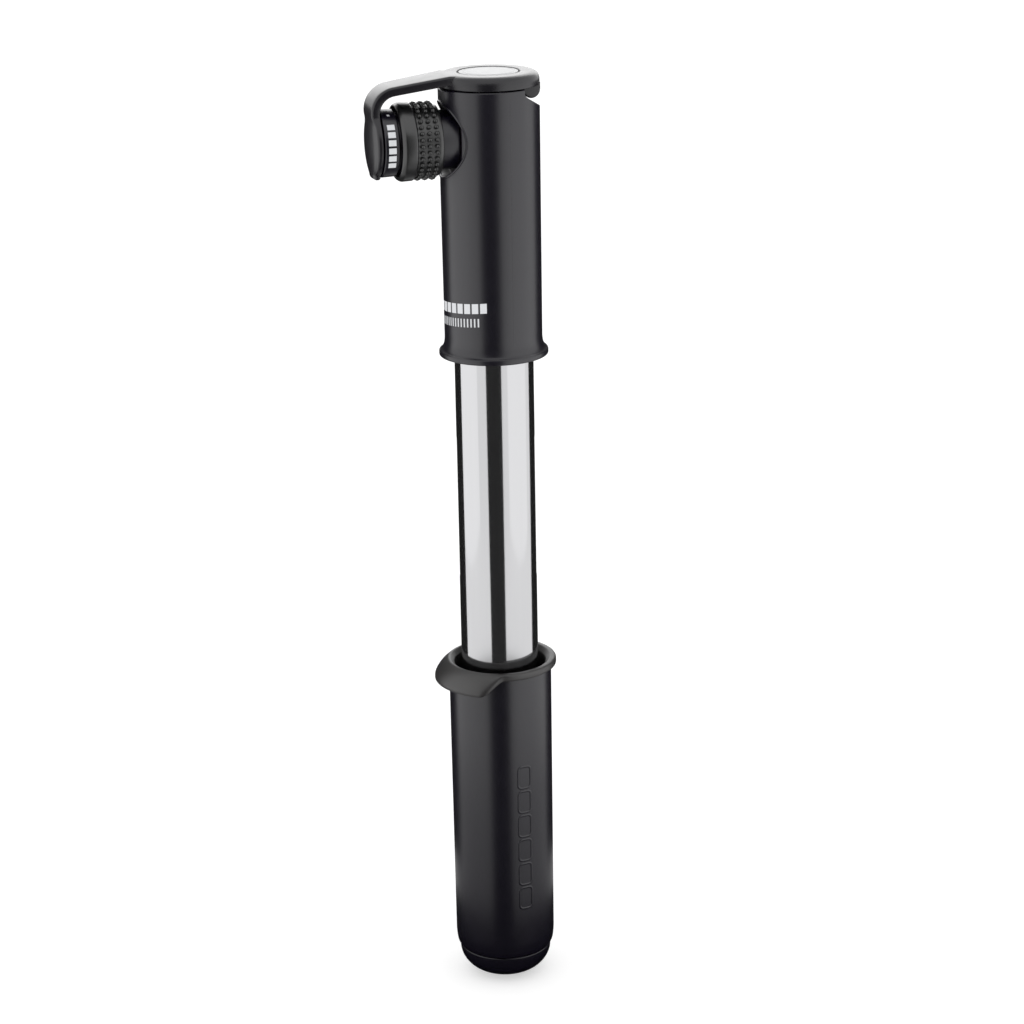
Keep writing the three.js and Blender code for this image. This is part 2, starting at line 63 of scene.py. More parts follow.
towards_camera = Vector((math.sin(CAMERA_AZIMUTH), -math.cos(CAMERA_AZIMUTH), 0))
camera_right = Vector((math.cos(CAMERA_AZIMUTH), math.sin(CAMERA_AZIMUTH), 0))
camera = bpy.data.objects.new("camera", bpy.data.cameras.new("camera"))
scene.collection.objects.link(camera)
scene.camera = camera
camera.data.lens = CAMERA_LENS
camera.data.clip_start = 0.05
camera.data.clip_end = 30
camera.location = towards_camera * CAMERA_DISTANCE + camera_right * CAMERA_SIDESTEP
camera.location.z = CAMERA_HEIGHT
look = -towards_camera * math.cos(CAMERA_PITCH) - Vector((0, 0, math.sin(CAMERA_PITCH)))
camera.rotation_mode = "QUATERNION"
camera.rotation_quaternion = look.to_track_quat("-Z", "Y") @ Quaternion((0, 0, 1), CAMERA_ROLL)

# ---------------------------------------------------------------------------
# Studio. A pale floor, an even white surround and a soft box on each side.
# Dark cards and one bright panel, seen only in reflections, draw the bands
# down the polished barrel and the sheen on top of the cover.
# ---------------------------------------------------------------------------
WORLD_STRENGTH = 1.06
scene.view_settings.view_transform = "Standard"
world = bpy.data.worlds.new("studio")
scene.world = world
world.use_nodes = True
surround = world.node_tree.nodes["Background"]
surround.inputs["Color"].default_value = (1.0, 1.0, 1.0, 1)
surround.inputs["Strength"].default_value = WORLD_STRENGTH


def around(azimuth, radius, height):
    """A point on a circle round the pump; azimuth 0 is in front of it, and it grows to the right."""
    turn = math.radians(azimuth)
    return Vector((math.sin(turn) * radius, -math.cos(turn) * radius, height))


SOFT_BOX_RADIUS = 0.34
SOFT_BOX_HEIGHT = 0.5


def soft_box(name, azimuth, width, power):
    """An upright area light that stands on the floor and faces the pump."""
    light = bpy.data.lights.new(name, "AREA")
    light.shape = "RECTANGLE"
    light.size = width
    light.size_y = SOFT_BOX_HEIGHT
    light.energy = power
    box = bpy.data.objects.new(name, light)
    scene.collection.objects.link(box)
    box.location = around(azimuth, SOFT_BOX_RADIUS, SOFT_BOX_HEIGHT / 2 + 0.002)
    box.rotation_euler = (math.pi / 2, 0, math.radians(azimuth))
    box.visible_camera = False


soft_box("left_soft_box", -100, 0.46, 0.16)
soft_box("right_soft_box", 54, 0.42, 0.14)


def card(name, azimuths, near, far, shade, glow=0.0):
    """A bent card between two (radius, height) edges that shows only in reflections."""
    steps = 36
    mesh = bpy.data.meshes.new(name)
    vertices = []
    for step in range(steps + 1):
        azimuth = azimuths[0] + (azimuths[1] - azimuths[0]) * step / steps
        vertices += [around(azimuth, *near), around(azimuth, *far)]
    faces = [(2 * i, 2 * i + 2, 2 * i + 3, 2 * i + 1) for i in range(steps)]
    mesh.from_pydata(vertices, [], faces)
    sheet = bpy.data.objects.new(name, mesh)
    scene.collection.objects.link(sheet)
    paint = bpy.data.materials.new(name)
    paint.use_nodes = True
    shader = paint.node_tree.nodes["Principled BSDF"]
    shader.inputs["Base Color"].default_value = (shade, shade, shade, 1)
    shader.inputs["Roughness"].default_value = 1.0
    shader.inputs["Specular IOR Level"].default_value = 0.0
    shader.inputs["Emission Color"].default_value = (1, 1, 1, 1)
    shader.inputs["Emission Strength"].default_value = glow
    mesh.materials.append(paint)
    sheet.visible_camera = False
    sheet.visible_diffuse = False
    sheet.visible_shadow = False


FLAG_RADIUS = 0.09
FLAG_FOOT = (FLAG_RADIUS, 0.0008)
FLAG_TOP = (FLAG_RADIUS, 0.262)
FRONT_FLAG_SPAN = (-38, 4)
BACK_GAP_SPAN = (143, 187)
FLAG_SHADE = 0.02
card("front_flag", FRONT_FLAG_SPAN, FLAG_FOOT, (FLAG_RADIUS, 0.30), 0.035)
card("front_floor_flag", FRONT_FLAG_SPAN, (0.03, 0.0007), (FLAG_RADIUS, 0.0007), 0.01)
card("back_flag_right", (97, 143), FLAG_FOOT, FLAG_TOP, FLAG_SHADE)
card("back_flag_left", (187, 237), FLAG_FOOT, FLAG_TOP, FLAG_SHADE)
card("back_flag_high", BACK_GAP_SPAN, (FLAG_RADIUS, 0.142), FLAG_TOP, FLAG_SHADE)
card("back_flag_low", BACK_GAP_SPAN, FLAG_FOOT, (FLAG_RADIUS, 0.095), FLAG_SHADE)
# Two floor discs, seen only in reflections, are painted reflection: the near-black one darkens the foot
# cap, and the grey one darkens the lower grip.
card("foot_flag", (0, 360), (0.004, 0.0006), (0.062, 0.0006), 0.006)
card("grey_reflection_disc", (0, 360), (0.05, 0.0003), (0.21, 0.0003), 0.52)
card("overhead_panel", (135, 195), (1.2, 0.34), (1.2, 1.5), 0.0, 2.6)

FLOOR_HALF = 6.0
FLOOR_Z = -0.0002
floor_mesh = bpy.data.meshes.new("floor")
floor_mesh.from_pydata(
    [(x * FLOOR_HALF, y * FLOOR_HALF, FLOOR_Z) for x, y in ((-1, -1), (1, -1), (1, 1), (-1, 1))],
    [], [(0, 1, 2, 3)])
floor = bpy.data.objects.new("floor", floor_mesh)
scene.collection.objects.link(floor)
floor_paint = bpy.data.materials.new("pale_floor")
floor_paint.use_nodes = True
floor_shader = floor_paint.node_tree.nodes["Principled BSDF"]
floor_shader.inputs["Base Color"].default_value = (0.62, 0.62, 0.62, 1)
floor_shader.inputs["Roughness"].default_value = 0.95
floor_shader.inputs["Emission Color"].default_value = (1, 1, 1, 1)
floor_shader.inputs["Emission Strength"].default_value = 0.48
floor_mesh.materials.append(floor_paint)

# ---------------------------------------------------------------------------
# Handle sleeve. A glass-filled nylon tube, moulded with a slight draft and a
# fine satin grain; a plain row of empty raised frames stands on its front.
# ---------------------------------------------------------------------------


def detail_material(name, colour, variation, roughness, spread, grain, depth, metallic=0.0,
                    stretch=(1, 1, 1), specular=0.5):
    """A finish with cloudy colour and gloss, and a fine grain that is grain metres across."""
    material = bpy.data.materials.new(name)
    material.use_nodes = True
    nodes = material.node_tree.nodes
    links = material.node_tree.links
    shader = nodes["Principled BSDF"]
    shader.inputs["Metallic"].default_value = metallic
    shader.inputs["Specular IOR Level"].default_value = specular
    place = nodes.new("ShaderNodeTexCoord")
    mapping = nodes.new("ShaderNodeMapping")
    mapping.inputs["Scale"].default_value = stretch
    links.new(place.outputs["Object"], mapping.inputs["Vector"])
    cloud = nodes.new("ShaderNodeTexNoise")
    cloud.inputs["Scale"].default_value = 220
    cloud.inputs["Detail"].default_value = 4
    links.new(mapping.outputs["Vector"], cloud.inputs["Vector"])
    tone = nodes.new("ShaderNodeMix")
    tone.data_type = "RGBA"
    tone.inputs["A"].default_value = (*[c * (1 - variation) for c in colour], 1)
    tone.inputs["B"].default_value = (*[min(1, c * (1 + variation)) for c in colour], 1)
    links.new(cloud.outputs["Fac"], tone.inputs["Factor"])
    links.new(tone.outputs["Result"], shader.inputs["Base Color"])
    gloss = nodes.new("ShaderNodeMapRange")
    gloss.inputs["To Min"].default_value = roughness - spread
    gloss.inputs["To Max"].default_value = roughness + spread
    links.new(cloud.outputs["Fac"], gloss.inputs["Value"])
    links.new(gloss.outputs["Result"], shader.inputs["Roughness"])
    fine = nodes.new("ShaderNodeTexNoise")
    fine.inputs["Scale"].default_value = 1 / grain
    fine.inputs["Detail"].default_value = 2
    links.new(mapping.outputs["Vector"], fine.inputs["Vector"])
    bump = nodes.new("ShaderNodeBump")
    bump.inputs["Strength"].default_value = 0.35
    bump.inputs["Distance"].default_value = depth
    links.new(fine.outputs["Fac"], bump.inputs["Height"])
    links.new(bump.outputs["Normal"], shader.inputs["Normal"])
    return material


def filleted(points, arc_steps=4):
    """Rounds the corners of an outline: each point is (radius, height) or (radius, height, fillet)."""
    count = len(points)
    outline = []
    for i, point in enumerate(points):
        here = Vector(point[:2])
        fillet = point[2] if len(point) > 2 else 0
        if not fillet:
            outline.append(here)
            continue
        back = Vector(points[i - 1][:2]) - here
        ahead = Vector(points[(i + 1) % count][:2]) - here
        reach = min(fillet, back.length * 0.49, ahead.length * 0.49)
        start = here + back.normalized() * reach
        end = here + ahead.normalized() * reach
        for step in range(arc_steps + 1):
            t = step / arc_steps
            outline.append(start.lerp(here, t).lerp(here.lerp(end, t), t))
    return outline


def plain_object(name, mesh, material, sharp=32):
    mesh.materials.clear()
    mesh.materials.append(material)
    mesh.shade_smooth()
    mesh.set_sharp_from_angle(angle=math.radians(sharp))
    piece = bpy.data.objects.new(name, mesh)
    scene.collection.objects.link(piece)
    return piece


def turned(name, outline, material, facets=144, loop=True, place=None, sharp=32):
    """A turned piece from an outline in millimetres; loop closes the outline on itself."""
    points = filleted(outline)
    build = bmesh.new()
    rings = []
    for radius, height in points:
        rings.append([build.verts.new((
            radius * MM * math.cos(2 * math.pi * k / facets),
            radius * MM * math.sin(2 * math.pi * k / facets),
            height * MM)) for k in range(facets)])
    spans = len(points) if loop else len(points) - 1
    for i in range(spans):
        low = rings[i]
        high = rings[(i + 1) % len(points)]
        for k in range(facets):
            n = (k + 1) % facets
            build.faces.new((low[k], low[n], high[n], high[k]))
    bmesh.ops.remove_doubles(build, verts=build.verts, dist=1e-7)
    bmesh.ops.recalc_face_normals(build, faces=build.faces)
    if place is not None:
        bmesh.ops.transform(build, matrix=place, verts=build.verts)
    mesh = bpy.data.meshes.new(name)
    build.to_mesh(mesh)
    build.free()
    return plain_object(name, mesh, material, sharp)


def settled(piece):
    """Makes the modifiers' result the piece's own mesh."""
    graph = bpy.context.evaluated_depsgraph_get()
    mesh = bpy.data.meshes.new_from_object(piece.evaluated_get(graph))
    piece.modifiers.clear()
    piece.data = mesh
    return piece


def combine(piece, tool, operation):
    """Joins another solid to the piece, or cuts it away, and drops the tool."""
    step = piece.modifiers.new("combine", "BOOLEAN")
    step.operation = operation
    step.solver = "EXACT"
    step.object = tool
    settled(piece)
    bpy.data.objects.remove(tool)


def node_modifier(name, tree, material, values):
    """An empty mesh carrying a geometry tree, settled into a plain mesh with the given inputs."""
    host = bpy.data.objects.new(name, bpy.data.meshes.new(name))
    scene.collection.objects.link(host)
    modifier = host.modifiers.new(name, "NODES")
    modifier.node_group = tree
    for socket in tree.interface.items_tree:
        if socket.item_type == "SOCKET" and socket.in_out == "INPUT" and socket.name in values:
            modifier[socket.identifier] = values[socket.name]
    settled(host)
    host.data.materials.clear()
    host.data.materials.append(material)
    host.data.shade_smooth()
    host.data.set_sharp_from_angle(angle=math.radians(40))
    return host


satin_black = detail_material("satin_black_nylon", (0.0032, 0.0022, 0.0070), 0.12, 0.31, 0.03,
                              0.00028, 0.00002, specular=0.75)
handle_low, handle_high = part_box("handle_sleeve")
sleeve_bottom = handle_low.z / MM
sleeve_top = handle_high.z / MM
HANDLE_RADIUS_LOW = 14.65
HANDLE_RADIUS_HIGH = 14.95
SLEEVE_BORE = 13.2
SOCKET_RADIUS = 14.15
SOCKET_FLOOR = 91.5
handle_sleeve = turned("grip_sleeve", [
    (SLEEVE_BORE, sleeve_bottom), (13.75, sleeve_bottom, 0.2), (14.3, sleeve_bottom + 1.0, 0.6),
    (HANDLE_RADIUS_LOW, sleeve_bottom + 3.6, 2.5), (HANDLE_RADIUS_HIGH, sleeve_top, 0.15),
    (SOCKET_RADIUS, sleeve_top), (SOCKET_RADIUS, SOCKET_FLOOR), (SLEEVE_BORE, SOCKET_FLOOR),
], satin_black)
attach(handle_sleeve, "handle")
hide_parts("handle_sleeve")

EMBOSS_AZIMUTH = 11
EMBOSS_FIRST_Z = 28.4
EMBOSS_COUNT = 6
EMBOSS_PITCH = 7.7


def new_tree(name, inputs):
    """A geometry tree with named number inputs; returns it with its nodes, links and group input."""
    tree = bpy.data.node_groups.new(name, "GeometryNodeTree")
    tree.interface.new_socket("Geometry", in_out="INPUT", socket_type="NodeSocketGeometry")
    for label, kind in inputs:
        tree.interface.new_socket(label, in_out="INPUT", socket_type=kind)
    tree.interface.new_socket("Geometry", in_out="OUTPUT", socket_type="NodeSocketGeometry")
    source = tree.nodes.new("NodeGroupInput")
    return tree, tree.nodes, tree.links, source


def finish_tree(tree, geometry, material):
    """Realize Instances, Set Material, out."""
    real = tree.nodes.new("GeometryNodeRealizeInstances")
    paint = tree.nodes.new("GeometryNodeSetMaterial")
    paint.inputs["Material"].default_value = material
    out = tree.nodes.new("NodeGroupOutput")
    tree.links.new(geometry, real.inputs[0])
    tree.links.new(real.outputs[0], paint.inputs["Geometry"])
    tree.links.new(paint.outputs[0], out.inputs[0])
    return tree


def wrapped(piece, radius_at, azimuth):
    """Bends a flat pattern round the pump: x runs round it, y stands off it, z goes up it."""
    for vertex in piece.data.vertices:
        flat = vertex.co.copy()
        radius = radius_at(flat.z) + flat.y
        turn = math.radians(azimuth) + flat.x / radius_at(flat.z)
        vertex.co = (radius * math.sin(turn), -radius * math.cos(turn), flat.z)
    return piece


def frame_row_tree(material):
    """A row of rounded frames up the Z axis, each a low rib swept round a rounded rectangle."""
    tree, nodes, links, source = new_tree("frame_row", [
        ("Width", "NodeSocketFloat"), ("Height", "NodeSocketFloat"), ("Corner", "NodeSocketFloat"),
        ("Rib", "NodeSocketFloat"), ("Count", "NodeSocketInt"), ("Pitch", "NodeSocketFloat"),
        ("Start", "NodeSocketFloat")])
    outline = nodes.new("GeometryNodeCurvePrimitiveQuadrilateral")
    links.new(source.outputs["Width"], outline.inputs["Width"])
    links.new(source.outputs["Height"], outline.inputs["Height"])
    corner = nodes.new("GeometryNodeFilletCurve")
    corner.mode = "POLY"
    corner.inputs["Count"].default_value = 6
    links.new(outline.outputs[0], corner.inputs["Curve"])
    links.new(source.outputs["Corner"], corner.inputs["Radius"])
    finer = nodes.new("GeometryNodeResampleCurve")
    finer.inputs["Count"].default_value = 64
    links.new(corner.outputs[0], finer.inputs["Curve"])
    rib = nodes.new("GeometryNodeCurvePrimitiveCircle")
    rib.inputs["Resolution"].default_value = 10
    links.new(source.outputs["Rib"], rib.inputs["Radius"])
    sweep = nodes.new("GeometryNodeCurveToMesh")
    links.new(finer.outputs[0], sweep.inputs["Curve"])
    links.new(rib.outputs[0], sweep.inputs["Profile Curve"])
    stand = nodes.new("GeometryNodeTransform")
    stand.inputs["Rotation"].default_value = (math.pi / 2, 0, 0)
    stand.inputs["Scale"].default_value = (1, 1, 0.45)
    links.new(sweep.outputs[0], stand.inputs["Geometry"])
    start = nodes.new("ShaderNodeCombineXYZ")
    links.new(source.outputs["Start"], start.inputs["Z"])
    pitch = nodes.new("ShaderNodeCombineXYZ")
    links.new(source.outputs["Pitch"], pitch.inputs["Z"])
    places = nodes.new("GeometryNodeMeshLine")
    links.new(source.outputs["Count"], places.inputs["Count"])
    links.new(start.outputs[0], places.inputs["Start Location"])
    links.new(pitch.outputs[0], places.inputs["Offset"])
    copies = nodes.new("GeometryNodeInstanceOnPoints")
    links.new(places.outputs[0], copies.inputs["Points"])
    links.new(stand.outputs[0], copies.inputs["Instance"])
    return finish_tree(tree, copies.outputs[0], material)


def handle_radius(z):
    share = (z / MM - sleeve_bottom) / (sleeve_top - sleeve_bottom)
    return (HANDLE_RADIUS_LOW + (HANDLE_RADIUS_HIGH - HANDLE_RADIUS_LOW) * share) * MM


emboss = node_modifier("raised_frames", frame_row_tree(satin_black), satin_black, {
    "Width": 4.0 * MM, "Height": 6.7 * MM, "Corner": 1.1 * MM, "Rib": 0.36 * MM,
    "Count": EMBOSS_COUNT, "Pitch": EMBOSS_PITCH * MM, "Start": EMBOSS_FIRST_Z * MM})
wrapped(emboss, handle_radius, EMBOSS_AZIMUTH)
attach(emboss, "handle")

# ---------------------------------------------------------------------------
# Collar. A moulded ring bonded into the mouth of the sleeve, with a chamfered
# hole round the barrel and a wide lobe for the thumb that slopes down and out.
# ---------------------------------------------------------------------------
COLLAR_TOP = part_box("handle_collar")[1].z / MM
COLLAR_RADIUS = 16.45
COLLAR_CHAMFER = 14.7
COLLAR_BORE = 13.3
COLLAR_SKIRT = 13.8
COLLAR_FOOT = 91.9
COLLAR_UNDERSIDE = COLLAR_TOP - 2.1
LOBE_REACH = 2.7
LOBE_DROP = 4.4
LOBE_HALF_ANGLE = math.radians(80)
LOBE_RAMP = 0.3
# The collar's base is a lighter, brownish grey than the sleeve's black. This is painted light: it stands in
# for the light from above that greys the collar's top.
collar_paint_with_toplight = detail_material("collar_nylon_painted_toplight", (0.013, 0.0115, 0.0115), 0.12, 0.42, 0.03,
                               0.00028, 0.00002, specular=0.9)
collar = turned("collar", [
    (COLLAR_BORE, COLLAR_FOOT), (COLLAR_SKIRT, COLLAR_FOOT), (COLLAR_SKIRT, COLLAR_UNDERSIDE),
    (14.9, COLLAR_UNDERSIDE), (COLLAR_RADIUS, COLLAR_UNDERSIDE, 0.55), (COLLAR_RADIUS, COLLAR_TOP, 0.8),
    (COLLAR_CHAMFER, COLLAR_TOP, 0.35), (COLLAR_BORE, COLLAR_TOP - 1.2, 0.3),
], collar_paint_with_toplight, facets=216)
for vertex in collar.data.vertices:
    reach = math.hypot(vertex.co.x, vertex.co.y)
    from_valve_side = abs(math.atan2(vertex.co.y, -vertex.co.x)) / LOBE_HALF_ANGLE
    if from_valve_side < 1:
        ramp = min(1.0, (1 - from_valve_side) / LOBE_RAMP)
        lobe = ramp * ramp * (3 - 2 * ramp)
        outward = (reach / MM - COLLAR_CHAMFER) / (COLLAR_RADIUS - COLLAR_CHAMFER)
        outward = max(0.0, min(1.0, outward))
        grown = (reach + LOBE_REACH * MM * lobe * outward) / reach
        vertex.co.x *= grown
        vertex.co.y *= grown
        vertex.co.z -= LOBE_DROP * MM * lobe * outward ** 1.5
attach(collar, "handle")
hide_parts("handle_collar")

# ---------------------------------------------------------------------------
# End cap. A moulded cup pressed into the foot of the sleeve; a fine groove
# marks the joint, and its corner is rounded down to a small flat foot.
# ---------------------------------------------------------------------------
CAP_RADIUS = 13.55
CAP_FOOT = 4.0
CAP_ROUND = 8.0
PLUG_RADIUS = 12.9
PLUG_BORE = 11.8
CAP_FLOOR = 4.5
cap_corner = [(CAP_FOOT + (CAP_RADIUS - CAP_FOOT) * math.sin(t), CAP_ROUND * (1 - math.cos(t)))
              for t in [math.pi / 2 * k / 20 for k in range(21)]]
end_cap = turned("foot_cap", [
    (0, 0), *cap_corner, (CAP_RADIUS, 8.6, 0.3), (PLUG_RADIUS, 8.6), (PLUG_RADIUS, 16),
    (PLUG_BORE, 16), (PLUG_BORE, CAP_FLOOR), (0, CAP_FLOOR),
], satin_black, loop=False)
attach(end_cap, "handle")
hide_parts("end_cap")

# ---------------------------------------------------------------------------
# Barrel. Drawn aluminium tube, polished bright, with faint lines left along
# it by the drawing and the polishing wheel.
# ---------------------------------------------------------------------------
polished_aluminium = detail_material(
    "polished_aluminium", (0.54, 0.54, 0.55), 0.02, 0.10, 0.02, 0.0011, 0.000004,
    metallic=1.0, stretch=(3, 3, 0.06))
TUBE_BORE = 10.2
TUBE_RADIUS = 11.2
tube_low, tube_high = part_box("cylinder_tube")
barrel = turned("polished_barrel", [
    (TUBE_BORE, tube_low.z / MM, 0.2), (TUBE_RADIUS, tube_low.z / MM, 0.3),
    (TUBE_RADIUS, tube_high.z / MM, 0.3), (TUBE_BORE, tube_high.z / MM, 0.2),
], polished_aluminium, facets=192)
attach(barrel, "barrel")
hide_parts("cylinder_tube")

# ---------------------------------------------------------------------------
# Head housing. One black moulding: flared flange at the barrel, a round port
# with a raised lip for the valve, and a sloped notch behind for the cover's
# hinge. A parting line runs down it, and two plain rows of bars are printed.
# ---------------------------------------------------------------------------
FLANGE_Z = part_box("head_housing")[0].z / MM
HEAD_TOP = 267.0
HEAD_RADIUS_LOW = 13.8
HEAD_RADIUS_HIGH = 14.05
HEAD_DRAFT_FROM = 4.8
VALVE_Z = (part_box("valve_neck")[0].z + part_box("valve_neck")[1].z) / 2 / MM
HINGE_X = (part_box("hinge_pin")[0].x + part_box("hinge_pin")[1].x) / 2 / MM
HINGE_Z = (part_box("hinge_pin")[0].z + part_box("hinge_pin")[1].z) / 2 / MM
PORT_RADIUS = 10.4
PORT_FLOOR = 10.3
# Turns a piece made along +Z so that it runs out along the valve, towards -X.
ALONG_VALVE = Matrix.Translation((0, 0, VALVE_Z * MM)) @ Matrix.Rotation(-math.pi / 2, 4, "Y")
# Turns a piece made along +Z so that it lies across the pump at the hinge.
ACROSS_HINGE = (Matrix.Translation((HINGE_X * MM, 0, HINGE_Z * MM))
                @ Matrix.Rotation(-math.pi / 2, 4, "X"))


def head_radius(z):
    share = (z / MM - FLANGE_Z - HEAD_DRAFT_FROM) / (HEAD_TOP - FLANGE_Z - HEAD_DRAFT_FROM)
    return (HEAD_RADIUS_LOW + (HEAD_RADIUS_HIGH - HEAD_RADIUS_LOW) * share) * MM


def prism(name, outline, low, high, material):
    """A solid with a flat outline of (x, z) in millimetres, drawn out along Y from low to high."""
    build = bmesh.new()
    ends = [[build.verts.new(Vector((x, y, z)) * MM) for x, z in outline] for y in (low, high)]
    build.faces.new(ends[0])
    build.faces.new(ends[1])
    for i in range(len(outline)):
        n = (i + 1) % len(outline)
        build.faces.new((ends[0][i], ends[0][n], ends[1][n], ends[1][i]))
    bmesh.ops.recalc_face_normals(build, faces=build.faces)
    mesh = bpy.data.meshes.new(name)
    build.to_mesh(mesh)
    build.free()
    return plain_object(name, mesh, material)


FLANGE_RADIUS = 15.45
CHAMBER_RADIUS = 8.6
CHAMBER_TOP = 257.1
SOCKET_TOP = 216.3
TUBE_SOCKET = 11.5
head = turned("head_shell", [
    (12.0, FLANGE_Z, 0.2), (FLANGE_RADIUS, FLANGE_Z, 0.5), (FLANGE_RADIUS, FLANGE_Z + 1.5, 0.6),
    (14.7, FLANGE_Z + 1.9, 0.4), (14.25, FLANGE_Z + 2.7, 0.5), (13.95, FLANGE_Z + 3.6, 0.6),
    (HEAD_RADIUS_LOW, FLANGE_Z + 5.0, 1.0), (HEAD_RADIUS_HIGH, HEAD_TOP, 0.5), (0, HEAD_TOP),
    (0, CHAMBER_TOP), (CHAMBER_RADIUS, CHAMBER_TOP), (CHAMBER_RADIUS, SOCKET_TOP),
    (TUBE_SOCKET, SOCKET_TOP), (TUBE_SOCKET, FLANGE_Z + 0.5),
], satin_black, facets=160)
port_pocket = turned("port_pocket", [
    (0, PORT_FLOOR), (PORT_RADIUS, PORT_FLOOR, 0.5), (PORT_RADIUS, 17), (0, 17),
], satin_black, facets=96, loop=False, place=ALONG_VALVE)
combine(head, port_pocket, "DIFFERENCE")
PASSAGE_RADIUS = 4.4
port_passage = turned("port_passage", [
    (0, 6), (PASSAGE_RADIUS, 6), (PASSAGE_RADIUS, 12), (0, 12),
], satin_black, facets=48, loop=False, place=ALONG_VALVE)
combine(head, port_passage, "DIFFERENCE")
NOTCH_X = 7.0
CLEAR = 17
hinge_notch = prism("hinge_notch", [
    (NOTCH_X, HEAD_TOP + 1), (NOTCH_X, HEAD_TOP - 1.2), (NOTCH_X + 0.3, HEAD_TOP - 1.8),
    (NOTCH_X + 0.9, HEAD_TOP - 2.3), (14.6, HEAD_TOP - 6.4), (CLEAR, HEAD_TOP - 6.4), (CLEAR, HEAD_TOP + 1),
], -CLEAR, CLEAR, satin_black)
combine(head, hinge_notch, "DIFFERENCE")
LUG_HALF = 2.8
LUG_RADIUS = 2.2
hinge_lug = turned("hinge_lug", [
    (0, -LUG_HALF), (LUG_RADIUS, -LUG_HALF, 0.3), (LUG_RADIUS, LUG_HALF, 0.3), (0, LUG_HALF),
], satin_black, facets=48, loop=False, place=ACROSS_HINGE)
combine(head, hinge_lug, "UNION")
lug_arm = prism("lug_arm", [
    (NOTCH_X - 1, HINGE_Z - 2.15), (HINGE_X, HINGE_Z - 2.15),
    (HINGE_X, HEAD_TOP - 0.1), (NOTCH_X - 1, HEAD_TOP - 0.1),
], -LUG_HALF + 0.05, LUG_HALF - 0.05, satin_black)
combine(head, lug_arm, "UNION")
head.name = "head_shell"
head.data.shade_smooth()
head.data.set_sharp_from_angle(angle=math.radians(30))
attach(head, "barrel")
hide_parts("head_housing")


def bead(name, path, normals, radius, material, sides=12):
    """A closed round bead along a ring of points, each with the direction that it stands up in."""
    build = bmesh.new()
    rings = []
    count = len(path)
    for i in range(count):
        ahead = (path[(i + 1) % count] - path[i - 1]).normalized()
        up = normals[i].normalized()
        side = ahead.cross(up).normalized()
        rings.append([build.verts.new(path[i] + (side * math.cos(t) + up * math.sin(t)) * radius)
                      for t in [2 * math.pi * k / sides for k in range(sides)]])
    for i in range(count):
        near = rings[i]
        far = rings[(i + 1) % count]
        for k in range(sides):
            n = (k + 1) % sides
            build.faces.new((near[k], near[n], far[n], far[k]))
    bmesh.ops.recalc_face_normals(build, faces=build.faces)
    mesh = bpy.data.meshes.new(name)
    build.to_mesh(mesh)
    build.free()
    return plain_object(name, mesh, material)


lip_path = []
lip_normals = []
LIP_RADIUS = PORT_RADIUS + 0.1
LIP_STEPS = 120
for step in range(LIP_STEPS):
    turn = 2 * math.pi * step / LIP_STEPS
    across = LIP_RADIUS * math.cos(turn) * MM
    height = (VALVE_Z + LIP_RADIUS * math.sin(turn)) * MM
    out = math.sqrt(head_radius(height) ** 2 - across ** 2)
    lip_path.append(Vector((-out + 0.0001, across, height)))
    lip_normals.append(Vector((-out, across, 0)))
port_lip = bead("port_lip", lip_path, lip_normals, 0.36 * MM, satin_black)
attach(port_lip, "barrel")


def parting_line(name, azimuth, low, high, material):
    """A hairline left by the mould, a low ridge straight up the side of the head."""
    steps = 40
    build = bmesh.new()
    rows = []
    for step in range(steps + 1):
        z = (low + (high - low) * step / steps) * MM
        row = []
        for across, stand in ((-0.14, -0.05), (-0.06, 0.045), (0.06, 0.045), (0.14, -0.05)):
            radius = head_radius(z) + stand * MM
            turn = math.radians(azimuth) + across * MM / radius
            row.append(build.verts.new((radius * math.sin(turn), -radius * math.cos(turn), z)))
        rows.append(row)
    for near, far in zip(rows, rows[1:]):
        for k in range(4):
            n = (k + 1) % 4
            build.faces.new((near[k], near[n], far[n], far[k]))
    build.faces.new(rows[0])
    build.faces.new(rows[-1])
    bmesh.ops.recalc_face_normals(build, faces=build.faces)
    mesh = bpy.data.meshes.new(name)
    build.to_mesh(mesh)
    build.free()
    ridge = plain_object(name, mesh, material)
    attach(ridge, "barrel")


PARTING_AZIMUTH = 9.5
parting_line("parting_line_front", PARTING_AZIMUTH, FLANGE_Z + 5, HEAD_TOP - 3, satin_black)
parting_line("parting_line_back", PARTING_AZIMUTH + 180, FLANGE_Z + 5, HEAD_TOP - 3, satin_black)

pale_print = detail_material("pale_print", (0.62, 0.63, 0.65), 0.05, 0.5, 0.05, 0.0003, 0.00001)


